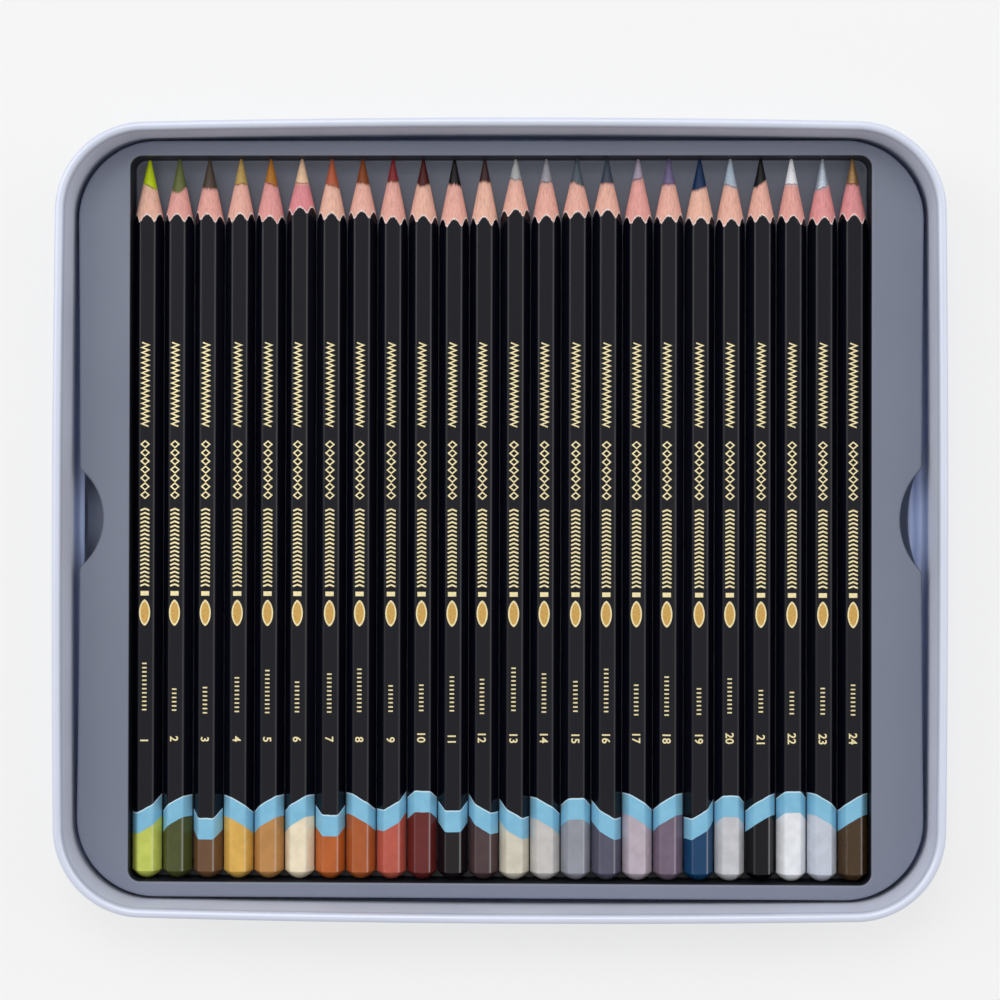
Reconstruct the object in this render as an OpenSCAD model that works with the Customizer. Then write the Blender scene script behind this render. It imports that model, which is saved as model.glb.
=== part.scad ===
// Flat tin of colored pencils, open and lying on its floor: a drawn tinplate tray with a curled rim,
// a thermoformed plastic tray with two finger scoops, and a row of hexagonal pencils in its recess.
// +Z is up, the pencils point along +Y, and the origin is the middle of the tin's underside.
// Lengths are in millimetres and angles in degrees.

/* [Tin] */
// Width of the tin over its rim, across the row of pencils
tin_w = 213.6; // [212.4:0.2:230]
// Length of the tin over its rim, along the pencils
tin_l = 192; // [191.6:0.2:210]
// Height of the tin, underside to top of rim
tin_h = 19; // [15:0.5:30]
// Radius of the tin's corners over the rim
tin_corner_r = 21.5; // [18:0.5:24]
// Angle that a long edge turns through on each side of its middle, which bows it outward
end_bow = 1.2; // [0.6:0.1:1.4]
// Angle that a short edge turns through on each side of its middle
side_bow = 0.7; // [0.4:0.1:1.2]
// Thickness of the tinplate
tin_t = 0.3; // [0.25:0.05:0.4]
// Radius of the curl rolled outward along the rim
curl_r = 1; // [0.8:0.05:1.5]
// Slit left between the end of the curl and the wall
curl_slit = 0.3; // [0.2:0.05:0.4]
// How far the wall leans inward from rim to floor
tin_draft = 0.6; // [0.2:0.1:1]
// Outside radius between the wall and the floor
tin_floor_r = 1.5; // [1:0.1:2]
// Height of the stiffening bead pressed up into the floor
bead_h = 0.5; // [0.3:0.1:0.6]
// Width of the bead
bead_w = 2.2; // [1.8:0.1:2.6]
// Distance from the edge of the floor's flat to the middle of the bead
bead_inset = 2.1; // [2.0:0.1:2.8]

/* [Tray] */
// Thickness of the formed sheet
sheet_t = 0.5; // [0.4:0.05:0.6]
// Depth of the recess that holds the pencils
recess_depth = 7.6; // [7:0.1:9]
// Gap between the wall's foot and the straight side of the flange, where the wall's corners start
flange_gap_side = 1.1; // [0.9:0.05:2]
// Gap between the wall's foot and the straight end of the flange, where the wall's corners start
flange_gap_end = 0.65; // [0.6:0.05:1.2]
// How much tighter the flange's corners are than the wall's
flange_corner_ease = 0.3; // [0:0.1:3]
// How far the skirt spreads outward from the flange to its foot
skirt_draft = 0.2; // [0:0.1:0.3]
// Height of the skirt's foot over the tin's floor
skirt_lift = 0.8; // [0.7:0.1:1.5]
// Radius of the flange's outer edge
flange_edge_r = 1; // [0.7:0.1:1.5]
// Radius of the lip around the recess
lip_r = 0.8; // [0.7:0.05:1]
// Inside radius between the recess's wall and its floor
recess_floor_r = 1; // [0.6:0.1:1]
// Radius of the recess's corners in plan
recess_corner_r = 2.8; // [2.5:0.1:4]
// How far the recess's wall leans inward from lip to floor
recess_draft = 0.2; // [0.1:0.1:0.6]
// Radius of the rim around a finger scoop
scoop_lip_r = 1; // [0.7:0.1:1.5]
// Width of the left scoop at the flange's edge
left_scoop_w = 23; // [18:0.5:28]
// How deep the left scoop bites into the flange
left_scoop_depth = 5.7; // [4.5:0.1:6]
// Lean of the left scoop's wall away from upright
left_scoop_lean = 36; // [10:1:38]
// Width of the right scoop at the flange's edge
right_scoop_w = 25; // [18:0.5:28]
// How deep the right scoop bites into the flange
right_scoop_depth = 5.3; // [4.5:0.1:6]
// Lean of the right scoop's wall away from upright
right_scoop_lean = 24; // [10:1:38]

/* [Pencils] */
// Number of pencils in the row
pencil_count = 24; // [20:1:24]
// Length of a pencil, from its domed end to the sharpened point
pencil_l = 175.8; // [150:0.2:176]
// Distance between opposite flats of the barrel
pencil_flat_w = 6.65; // [6.4:0.05:6.8]
// Width of the barrel over its rounded corners
pencil_corner_w = 7.44; // [7.35:0.01:7.5]
// Diameter of the colored core
lead_d = 3.5; // [2.5:0.1:4]
// Angle between the sharpened cone and the pencil's axis
point_angle = 13.1; // [11:0.1:16]
// Radius of the worn tip
tip_r = 0.25; // [0.2:0.05:0.5]
// Height of the domed end
dome_h = 2.1; // [1.5:0.1:2.6]
// Lacquer and wood that close the domed end over the core
end_wall = 1.5; // [1:0.1:3]
// Length of the colored dip at the end
dip_l = 12.5; // [8:0.5:20]
// Width of the band between the dip and the barrel's lacquer
band_w = 5.2; // [3:0.1:8]
// Slant at which the barrel goes into the dip and the band
dip_slant = 40; // [0:1:45]

/* [Clearances] */
// Gap between neighbouring pencils
pencil_gap = 0.04; // [0.03:0.01:0.1]
// Gap between the row of pencils and the recess's side walls, halfway up
row_gap = 0.1; // [0.1:0.05:0.4]
// Gap between the pencils' domed ends and the recess's wall
end_gap = 0.15; // [0.1:0.05:0.3]
// Gap between the points and the recess's wall
point_gap = 0.15; // [0.1:0.05:0.3]
// Gap between a piece and the flat that it rests on
seat_gap = 0.05; // [0.03:0.01:0.1]
// Glue line between the core and the wood around it
glue_gap = 0.02; // [0.01:0.01:0.05]

/* [Hidden] */
// Steps in a full turn of a small rounding
section_steps = 48;
$fn = section_steps;
// Steps in a full turn of a wall, fine enough to draw the long bowed edges as curves
arc_steps = 1440;
// Overlap where a bowed run joins the straight plate inside it
lap = 2.5;
// How far a leaning wall runs into the rounding that it meets
hair = 0.002;

// Dip and core colors, from left to right
dip_colors = [
  "#bcc85a", "#4b502d", "#6e503a", "#d2a550", "#b98750", "#e1d0b2", "#be6428", "#aa5a2d",
  "#b45546", "#6e2d2a", "#322a2e", "#504144", "#cdc6a5", "#c3b9b2", "#91919b", "#555262",
  "#b9a5af", "#78647d", "#1e4870", "#bebec3", "#1c1c24", "#dcdee4", "#b9becd", "#503e2d"
];
lead_colors = [
  "#a5be14", "#647346", "#5a4b41", "#be9b55", "#be782d", "#e1aa78", "#c85f32", "#a05a23",
  "#8c322d", "#55140f", "#2d2020", "#503032", "#aab4b2", "#969696", "#5a5f69", "#4b505a",
  "#9187a0", "#735a82", "#193c64", "#a0aab9", "#141416", "#e4e6e6", "#a8afbc", "#96703c"
];
// How far each pencil is rolled off its bottom flat
rolls = [
  0, -3, -2.5, 3, 1.5, -2.5, 4, 1, 3.5, 3, 2, -1, 2, 0.5, 3, 2.5, -1, -3, 3, 2, 3, 3, 2.5, 0
];
// How much of each point is worn away
wears = [
  0.9, 0.6, 0.5, 0, 0.3, 0.6, 0.4, 0.7, 0.2, 0.5, 0.8, 0.6, 0.4, 0.2, 0.5, 0.3,
  0.7, 0.4, 0.6, 0.3, 0.9, 0.2, 0.5, 0.4
];
// Which way round the barrel each dip reaches highest: 0 is up, 90 is to the right
dip_turns = [
  120, 60, 180, -60, 60, 60, 180, -60, 120, 0, 180, -120,
  -120, -60, 0, -120, -60, 60, 120, 0, 60, 0, -60, 60
];
lacquer_color = "#26272e";
band_color = "#73b2d0";
wood_color = "#e3b193";
tray_color = "#7e8494";
tin_color = "#d5dbee";

// Heights
floor_z = tin_t;
recess_z = floor_z + seat_gap + sheet_t;
flange_z = recess_z + recess_depth;
skirt_z = floor_z + skirt_lift;

// Tin: faces of the wall, measured inward from the rim's outline
wall_top_x = -2 * curl_r;
wall_foot_x = wall_top_x - tin_draft;
floor_edge_x = wall_foot_x + tin_t - tin_floor_r;
bead_x = floor_edge_x - bead_inset;
tin_section_end = bead_x - bead_w / 2 - 2 * lap;

// Tray: outline of the flange and of the recess
wall_corner = outline(tin_w / 2, tin_l / 2, tin_corner_r);
foot_corner_r = tin_corner_r + wall_foot_x;
flange_half_w = to_tenths(wall_corner[0] + foot_corner_r * cos(side_bow) - flange_gap_side);
flange_half_l = to_tenths(wall_corner[1] + foot_corner_r * cos(end_bow) - flange_gap_end);
flange_corner_r = foot_corner_r - flange_corner_ease;
pencil_pitch = pencil_corner_w + pencil_gap;
row_w = pencil_count * pencil_pitch - pencil_gap;
recess_half_w = row_w / 2 + row_gap + recess_draft / 2;
recess_half_l = (pencil_l + end_gap + point_gap + recess_draft) / 2;
floor_strip = recess_corner_r - 0.2;

// Pencils
flat_r = pencil_flat_w / 2;
corner_r = pencil_corner_w / 2;
lead_r = lead_d / 2;
end_y = -recess_half_l + recess_draft / 2 + end_gap;
apex_h = pencil_l + tip_r / tan(point_angle);
lead_edge_h = apex_h - lead_r / tan(point_angle);
lacquer_edge_h = apex_h - flat_r / tan(point_angle);
cone_foot_h = apex_h - corner_r / tan(point_angle);
dome_r = (corner_r * corner_r + dome_h * dome_h) / (2 * dome_h);
corner_angle = acos(flat_r / corner_r);

// A forming tool is made to whole tenths of a millimetre
function to_tenths(v) = round(10 * v) / 10;
function two_digits(n) = str(n < 10 ? "0" : "", n);
function casing_name(n) = str("pencil_", two_digits(n), "_casing");
function lead_name(n) = str("pencil_", two_digits(n), "_lead");

// A bowed outline with round corners, as [x of a corner's centre, y of it, radius of the long
// edges, radius of the short edges]. Each edge is one arc, tangent to both of its corners.
function outline(half_w, half_l, corner) =
  let (
    end_slope = tan(end_bow / 2),
    side_slope = tan(side_bow / 2),
    reach = 1 - end_slope * side_slope,
    x = (half_w - corner - (half_l - corner) * side_slope) / reach,
    y = (half_l - corner - (half_w - corner) * end_slope) / reach
  )
  [x, y, corner + x / sin(end_bow), corner + y / sin(side_bow)];

// Moves by whole millimetres, then thousandths, then the rest, to keep the decimals of a long radius
module shift(v) {
  whole = [for (c = v) round(c)];
  fine = [for (c = v - whole) round(1000 * c) / 1000];
  translate(whole)
    translate(fine)
      translate(v - whole - fine)
        children();
}

// Turns a wall section about an edge's centre
module turned(radius, from, sweep) {
  rotate_extrude(angle = sweep, start = from, $fn = arc_steps)
    shift([radius, 0], $fn = section_steps)
      children();
}

// Draws its children in all four quarters
module four_ways() {
  for (x_side = [0, 1], y_side = [0, 1])
    mirror([x_side, 0, 0])
      mirror([0, y_side, 0])
        children();
}

// Carries a wall section round a bowed outline. The section's x is 0 on the outline, negative inside.
module around_bowed(half_w, half_l, corner) {
  place = outline(half_w, half_l, corner);
  four_ways() {
    shift([0, half_l - place[2], 0])
      turned(place[2], 90 - end_bow, end_bow)
        children();
    shift([place[0], place[1], 0])
      turned(corner, side_bow, 90 - side_bow - end_bow)
        children();
    shift([half_w - place[3], 0, 0])
      turned(place[3], 0, side_bow)
        children();
  }
}

// Carries a wall section round a straight-sided outline
module around_straight(half_w, half_l, corner) {
  for (side = [-1, 1]) {
    straight_run(half_w, 2 * (half_l - corner), side < 0 ? 180 : 0)
      children();
    straight_run(half_l, 2 * (half_w - corner), side * 90)
      children();
  }
  four_ways()
    translate([half_w - corner, half_l - corner, 0])
      rotate_extrude(angle = 90, $fn = 96)
        translate([corner, 0])
          children();
}

module straight_run(out, length, turn) {
  rotate([0, 0, turn])
    translate([out, length / 2, 0])
      rotate([90, 0, 0])
        linear_extrude(length)
          children();
}

// A flat plate with round corners
module plate(half_w, half_l, corner, thickness) {
  linear_extrude(thickness) {
    square([2 * half_w, 2 * (half_l - corner)], center = true);
    square([2 * (half_w - corner), 2 * half_l], center = true);
    for (x_side = [-1, 1], y_side = [-1, 1])
      translate([x_side * (half_w - corner), y_side * (half_l - corner)])
        circle(corner);
  }
}

// A quarter of a bent sheet: outer radius r, sheet thickness t, opening toward x_side and z_side
module bend(r, t, x_side, z_side) {
  difference() {
    intersection() {
      circle(r);
      mirror([x_side < 0 ? 1 : 0, 0])
        mirror([0, z_side < 0 ? 1 : 0])
          square(r + lap);
    }
    circle(r - t);
  }
}

// ---- Tin ----

// Section through the tin's edge: curl, wall, floor radius, floor and bead
module tin_section() {
  curl_z = tin_h - curl_r;
  bead_r = (bead_w * bead_w / 4 + bead_h * bead_h) / (2 * bead_h);
  difference() {
    union() {
      difference() {
        translate([-curl_r, curl_z])
          circle(curl_r);
        translate([-curl_r, curl_z])
          circle(curl_r - tin_t);
        translate([wall_top_x + tin_t, curl_z - curl_r - lap])
          square([curl_slit, curl_r + lap]);
      }
      polygon([
        [wall_top_x, curl_z],
        [wall_foot_x, tin_floor_r],
        [wall_foot_x + tin_t, tin_floor_r],
        [wall_top_x + tin_t, curl_z]
      ]);
      translate([floor_edge_x, tin_floor_r])
        bend(tin_floor_r, tin_t, 1, -1);
      translate([tin_section_end, 0])
        square([floor_edge_x - tin_section_end, tin_t]);
      intersection() {
        translate([bead_x, bead_h - bead_r])
          circle(bead_r + tin_t);
        translate([bead_x - bead_w, 0])
          square([2 * bead_w, bead_h + 2 * tin_t]);
      }
    }
    translate([bead_x, bead_h - bead_r])
      circle(bead_r);
  }
}

module tin_base() {
  overlap_x = tin_section_end + lap;
  color(tin_color) {
    around_bowed(tin_w / 2, tin_l / 2, tin_corner_r)
      tin_section();
    plate(tin_w / 2 + overlap_x, tin_l / 2 + overlap_x, tin_corner_r + overlap_x, tin_t);
  }
}

// ---- Tray ----
// Each form below is drawn once for the sheet's upper face and once, moved in by the sheet's
// thickness, for its lower face.

// Section through the flange's edge and the skirt
module flange_section(inward, foot_z) {
  edge_z = flange_z - flange_edge_r;
  round_r = flange_edge_r - inward;
  edge_x = -flange_edge_r;
  spread = skirt_draft * (edge_z - foot_z) / (edge_z - skirt_z);
  polygon([
    [edge_x, edge_z],
    [-inward, edge_z],
    [spread - inward, foot_z],
    [edge_x - 2 * lap, foot_z],
    [edge_x - 2 * lap, flange_z - inward],
    [edge_x, flange_z - inward]
  ]);
  translate([edge_x, edge_z])
    circle(round_r);
}

module flange_form(inward, foot_z) {
  inset = flange_edge_r + lap;
  around_straight(flange_half_w, flange_half_l, flange_corner_r)
    flange_section(inward, foot_z);
  translate([0, 0, foot_z])
    plate(
      flange_half_w - inset,
      flange_half_l - inset,
      flange_corner_r - inset,
      flange_z - inward - foot_z
    );
}

// Section through the recess: its floor radius, wall and lip, open at the top
module recess_section(inward) {
  bottom_z = recess_z - inward;
  round_r = recess_floor_r + inward;
  round_x = -recess_draft - recess_floor_r;
  round_z = recess_z + recess_floor_r;
  top_z = flange_z + 1;
  difference() {
    union() {
      polygon([
        [-floor_strip, bottom_z],
        [round_x, bottom_z],
        [round_x, round_z],
        [inward - recess_draft, round_z],
        [inward, flange_z - lip_r],
        [lip_r, flange_z - inward],
        [lip_r, top_z],
        [-floor_strip, top_z]
      ]);
      translate([round_x, round_z])
        circle(round_r);
    }
    translate([lip_r, flange_z - lip_r])
      circle(lip_r - inward);
  }
}

module recess_form(inward) {
  inset = (floor_strip + recess_draft + recess_floor_r) / 2;
  around_straight(recess_half_w, recess_half_l, recess_corner_r)
    recess_section(inward);
  translate([0, 0, recess_z - inward])
    plate(
      recess_half_w - inset,
      recess_half_l - inset,
      recess_corner_r - inset,
      flange_z + 1 - recess_z + inward
    );
}

// Section through a scoop, from its upright axis out to its leaning wall and rounded rim
module scoop_section(top_r, lean, inward) {
  foot_z = skirt_z - 0.5;
  round_r = scoop_lip_r - inward;
  center_r = top_r + scoop_lip_r * tan((90 - lean) / 2);
  center_z = flange_z - scoop_lip_r;
  wall_r = center_r - (round_r - hair) * cos(lean);
  wall_z = center_z + (round_r - hair) * sin(lean);
  difference() {
    polygon([
      [0, foot_z],
      [wall_r - (wall_z - foot_z) * tan(lean), foot_z],
      [wall_r, wall_z],
      [center_r, flange_z - inward],
      [center_r, flange_z + 1],
      [0, flange_z + 1]
    ]);
    translate([center_r, center_z])
      circle(round_r);
  }
}

module scoop_form(width, depth, lean, inward) {
  top_r = (width * width / 4 + depth * depth) / (2 * depth);
  translate([flange_half_w - depth + top_r, 0, 0])
    rotate_extrude($fn = 96)
      scoop_section(top_r, lean, inward);
}

module scoop_forms(inward) {
  scoop_form(right_scoop_w, right_scoop_depth, right_scoop_lean, inward);
  mirror([1, 0, 0])
    scoop_form(left_scoop_w, left_scoop_depth, left_scoop_lean, inward);
}

module tray() {
  color(tray_color)
    difference() {
      union() {
        flange_form(0, skirt_z);
        recess_form(sheet_t);
      }
      recess_form(0);
      scoop_forms(0);
      difference() {
        flange_form(sheet_t, skirt_z - 0.5);
        recess_form(sheet_t);
        scoop_forms(sheet_t);
      }
    }
}

// ---- Pencils ----

// How far a barrel rolled by an angle reaches below its axis
function reach_down(roll) = corner_r * cos(max(corner_angle - abs(roll), 0));

// Puts a pencil drawn along +Z, with its end at 0, in its place in the row
module in_row(n) {
  roll = rolls[n - 1];
  x = (n - (pencil_count + 1) / 2) * pencil_pitch;
  translate([x, end_y, recess_z + seat_gap + reach_down(roll)])
    rotate([-90, 0, 0])
      rotate([0, 0, roll])
        children();
}

// Sharpened, domed and bored barrel
module barrel() {
  intersection() {
    cylinder(h = pencil_l, r = flat_r / cos(30), $fn = 6);
    rotate_extrude($fn = 96)
      difference() {
        intersection() {
          polygon([[0, 0], [corner_r, 0], [corner_r, cone_foot_h], [0, apex_h]]);
          union() {
            translate([0, dome_r])
              circle(dome_r);
            translate([0, dome_h])
              square([corner_r, pencil_l]);
          }
        }
        translate([-lead_r, end_wall])
          square([2 * lead_r + glue_gap, pencil_l]);
      }
  }
}

// All that lies beyond a plane that cuts the axis at height h, slanted as the dip is
module beyond(h, slant, turn) {
  size = 3 * pencil_l;
  translate([0, 0, h])
    rotate([0, -slant, turn - 90])
      translate([-size / 2, -size / 2, 0])
        cube(size);
}

module pencil_casing(n) {
  turn = dip_turns[n - 1];
  in_row(n) {
    color(dip_colors[n - 1])
      difference() {
        barrel();
        beyond(dip_l, dip_slant, turn);
      }
    color(band_color)
      difference() {
        intersection() {
          barrel();
          beyond(dip_l, dip_slant, turn);
        }
        beyond(dip_l + band_w, dip_slant, turn);
      }
    color(lacquer_color)
      difference() {
        intersection() {
          barrel();
          beyond(dip_l + band_w, dip_slant, turn);
        }
        beyond(lacquer_edge_h, 0, 0);
      }
    color(wood_color)
      intersection() {
        barrel();
        beyond(lacquer_edge_h, 0, 0);
      }
  }
}

module pencil_lead(n) {
  tip_h = pencil_l - wears[n - 1];
  worn_r = (apex_h - tip_h) * tan(point_angle);
  color(lead_colors[n - 1])
    in_row(n)
      rotate_extrude($fn = 96)
        polygon([
          [0, end_wall + glue_gap],
          [lead_r, end_wall + glue_gap],
          [lead_r, lead_edge_h],
          [worn_r, tip_h],
          [0, tip_h]
        ]);
}

tin_base();
tray();
for (n = [1 : pencil_count]) {
  pencil_casing(n);
  pencil_lead(n);
}
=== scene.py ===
"""Looks of the pencil tin: bowed tin, formed tray, 24 sharpened pencils, floor, light and camera."""

import math
import random

import bpy
import numpy as np
from mathutils import Euler, Matrix, Vector


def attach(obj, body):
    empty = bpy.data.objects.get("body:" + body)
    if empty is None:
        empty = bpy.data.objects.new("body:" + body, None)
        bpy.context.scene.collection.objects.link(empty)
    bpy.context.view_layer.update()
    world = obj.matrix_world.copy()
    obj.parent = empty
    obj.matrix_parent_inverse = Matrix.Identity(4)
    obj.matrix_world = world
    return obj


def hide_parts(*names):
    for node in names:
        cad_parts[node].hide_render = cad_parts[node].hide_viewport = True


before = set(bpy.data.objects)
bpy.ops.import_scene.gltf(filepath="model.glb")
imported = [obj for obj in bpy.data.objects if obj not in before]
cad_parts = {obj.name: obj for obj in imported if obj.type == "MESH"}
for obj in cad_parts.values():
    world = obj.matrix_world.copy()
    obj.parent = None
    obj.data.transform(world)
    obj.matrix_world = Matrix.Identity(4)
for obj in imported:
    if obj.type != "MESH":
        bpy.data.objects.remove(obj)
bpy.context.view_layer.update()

MM = 0.001


def tan_degrees(degrees):
    return math.tan(math.radians(degrees))


# ---- Sizes in millimetres: those of part.scad, or within about 1 mm of them ----
TIN_HALF = (106.8, 96.0)
TIN_H, TIN_CORNER, TIN_T = 19.0, 21.5, 0.3
END_BOW, SIDE_BOW = math.radians(1.2), math.radians(0.7)
CURL_R, TIN_DRAFT, TIN_FLOOR_R = 1.1, 0.5, 1.5
BEAD_H, BEAD_W, BEAD_INSET = 0.5, 2.2, 2.1

SHEET_T, RECESS_Z, FLANGE_Z, SKIRT_Z = 0.5, 0.85, 8.45, 1.1
FLANGE_HALF, FLANGE_CORNER = (102.6, 91.9), 19.2
FLANGE_EDGE_R, LIP_R, SKIRT_SPREAD, SCOOP_LIP_R, SHOULDER_R = 0.6, 0.55, 0.2, 0.6, 1.8
# How far the flange's short-side edges bow in at the middle
FLANGE_BOW = 0.45
RECESS_HALF, RECESS_CORNER, RECESS_FLOOR_R = (89.94, 88.15), 2.8, 0.6
# Width, depth and lean of each finger scoop, and the depth that is left at its foot
RIGHT_SCOOP, LEFT_SCOOP = (25.5, 5.4, 22.0, 2.5), (24.5, 6.0, 38.0, 0.05)

PENCILS, PITCH, PENCIL_L, END_Y = 24, 7.48, 175.8, -87.9
FLAT_R, CORNER_R, LEAD_R, TIP_R = 3.25, 3.62, 1.75, 0.3
# The solid barrels' radii, which set how high each axis lies over the tray's floor
SEAT_FLAT_R, SEAT_CORNER_R, SEAT_GAP = 3.325, 3.72, 0.05
# The bore's play round the core, where it stops being straight, and the depth of its mouth
BORE_GAP, BORE_TOP, MOUTH_DEPTH = 0.02, 165.0, 0.4
DOME_H, END_WALL, DIP_L, BAND_W, DIP_SLANT = 2.1, 1.5, 12.9, 5.2, tan_degrees(34)

# ---- The pencils, from left to right ----
DIPS = (
    "c6cf60 4b5029 6c4e34 dcae55 bb874e eee0c2 b8602a ab5a2d ba5a4a 642623 1a1318 4c3a3c "
    "d2ccba c6c2bf 93959f 565567 b9acb7 746375 143f66 c8c8cc 030308 e8eaee c4cad6 41301f"
).split()
LEADS = (
    "bfd210 62693a 4d4036 be9d57 b27228 eec6a4 b25a3c 84421a 80262a 481210 120c0c 3a2022 "
    "b2b6b4 9e9ca4 525c66 3e4654 aa9eb2 6e6288 0e2a50 aebccc 0a0a0c eeeef2 acb6c2 96724c"
).split()
ROLLS = (0, -3, -2.5, 3, 1.5, -2.5, 4, 1, 3.5, 3, 2, -1, 2, 0.5, 3, 2.5, -1, -3, 3, 2, 3, 3, 2.5, 0)
# How far a sharp tip reaches past PENCIL_L, and how much of it is worn away
TIP_REACH = 0.1
WEARS = {1: 0.2, 11: 0.15, 13: 0.1}
# From each tip down to where the upper flat begins
POINT_LENGTHS = (
    13.6, 14.0, 13.65, 14.2, 13.8, 12.45, 13.75, 13.35, 14.4, 13.85, 14.5, 14.95,
    12.85, 13.95, 12.75, 13.15, 14.1, 13.85, 14.1, 14.6, 14.2, 14.5, 14.5, 14.2,
)
# Which way each slanted dip faces, in degrees
DIP_TURNS = (
    120, 60, 180, -60, 60, 60, 180, -60, 120, 0, 180, -120,
    -120, -60, 0, -120, -60, 60, 120, 0, 60, 0, -60, 60,
)
# How much higher than DIP_L each dip reaches
DIP_SHIFTS = {
    1: 0.3, 2: 0.1, 3: -0.9, 5: 0.2, 6: 0.3, 8: 0.8, 9: 1.3, 10: 1.6, 11: 1.2, 12: 0.7, 13: -0.5,
    16: -0.6, 17: 1.1, 18: 1.0, 19: -0.4, 20: 0.8, 21: 1.0, 22: 1.9, 23: 1.3, 24: 1.2,
}
# Where each core starts to show: height, slant to the right, dip at the middle, raggedness
LEAD_EDGES = (
    (169.3, -0.85, 0, 0.08), (168.9, 0.4, -1.3, 0.08), (168.7, 0, 0, 0.08), (169.7, 0, 0, 0.12),
    (169.8, -0.55, 0, 0.1), (169.9, 0, 0, 0.1), (169.3, -0.4, 0, 0.1), (169.9, -0.3, 0, 0.12),
    (170.4, 0, 0, 0.1), (169.9, 0, -0.6, 0.12), (169.8, -0.3, -0.3, 0.2), (170.4, 0, 0, 0.08),
    (170.9, -0.1, 0, 0.12), (170.2, 0, 0, 0.12), (169.8, -0.7, 0, 0.15), (170.0, 0, 0, 0.1),
    (171.0, 0.3, 0, 0.12), (169.7, 0, 0, 0.08), (168.8, 0.6, -0.3, 0.06), (169.4, -0.4, -0.3, 0.1),
    (169.9, 1.07, 0, 0.06), (169.7, 0, -0.1, 0.08), (169.0, 0.75, -0.2, 0.1), (169.7, -0.2, 0, 0.12),
)
# The wood's two shades, and each pencil's share of the rosy one
WOOD_TAN, WOOD_ROSE = "eec3a8", "e08d92"
ROSINESS = (
    0.25, 0.6, 0.55, 0.4, 0.75, 1.0, 0.25, 0.4, 0.5, 0.3, 0.45, 0.25,
    0.35, 0.45, 0.4, 0.35, 0.65, 0.4, 0.25, 0.35, 0.4, 0.6, 0.85, 0.9,
)
# Flecks in the metallic paints
PEARLY = {23: "e6eaf4", 24: "b98a58"}
# Height of the rounded end of each core
BLUNT = 0.25
BLUNTS = {1: 0.7, 2: 0.4, 22: 0.9, 23: 0.7, 4: 0.2, 11: 0.4}
# The gold marks lie a little left of the middle
MARKS_X = -0.3
# How far down each row of dashes starts, ahead of the pencil's number
NAME_DROPS = (
    0, 6.2, 5.8, 3.4, 1.6, 4.4, 2.4, 1.2, 5.2, 5.0, 3.0, 3.6,
    0.8, 2.2, 4.0, 1.0, 4.8, 2.8, 5.6, 3.2, 6.0, 6.4, 5.4, 4.6,
)
# Heights of the gold marks on a barrel, from its domed end, and the foil's lift and thickness
ZIGZAG_Z, LOZENGE_Z, CHEVRON_Z, BAR_Z, LEAF_Z, NAME_Z, NAME_END_Z, NUMBER_Z = (
    130.7, 105.9, 90.2, 69.6, 64.9, 52.5, 40.5, 33.6
)
STROKE_STEP, DIGIT_SIZE, FOIL_LIFT, FOIL_T = 1.02, 2.75, 0.012, 0.02

# ---- Light and camera, in metres and watts ----
WORLD_LIGHT, BACKDROP = 0.52, 0.913
# How much of the floor the camera sees as plain backdrop, the rest of it keeping the shadow
FLOOR_BACKDROP_SHARE = 0.7
CAMERA_PLACE, CAMERA_TURN = (0.011051, 0.012215, 0.557432), (0.4624, 1.1344, 0.1287)
CAMERA_LENS, CAMERA_SENSOR, CAMERA_SHIFT_Y = 81.534, 36, -0.0495

# ---- Painted shade used more than once ----
PAINTED_SHADE_COLOR = (0.008, 0.009, 0.014, 1)


def linear(code):
    """RGBA for a shader from an sRGB hex code."""
    channels = [int(code[i:i + 2], 16) / 255 for i in (0, 2, 4)]
    return tuple(((c + 0.055) / 1.055) ** 2.4 if c > 0.04 else c / 12.92 for c in channels) + (1,)


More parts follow.
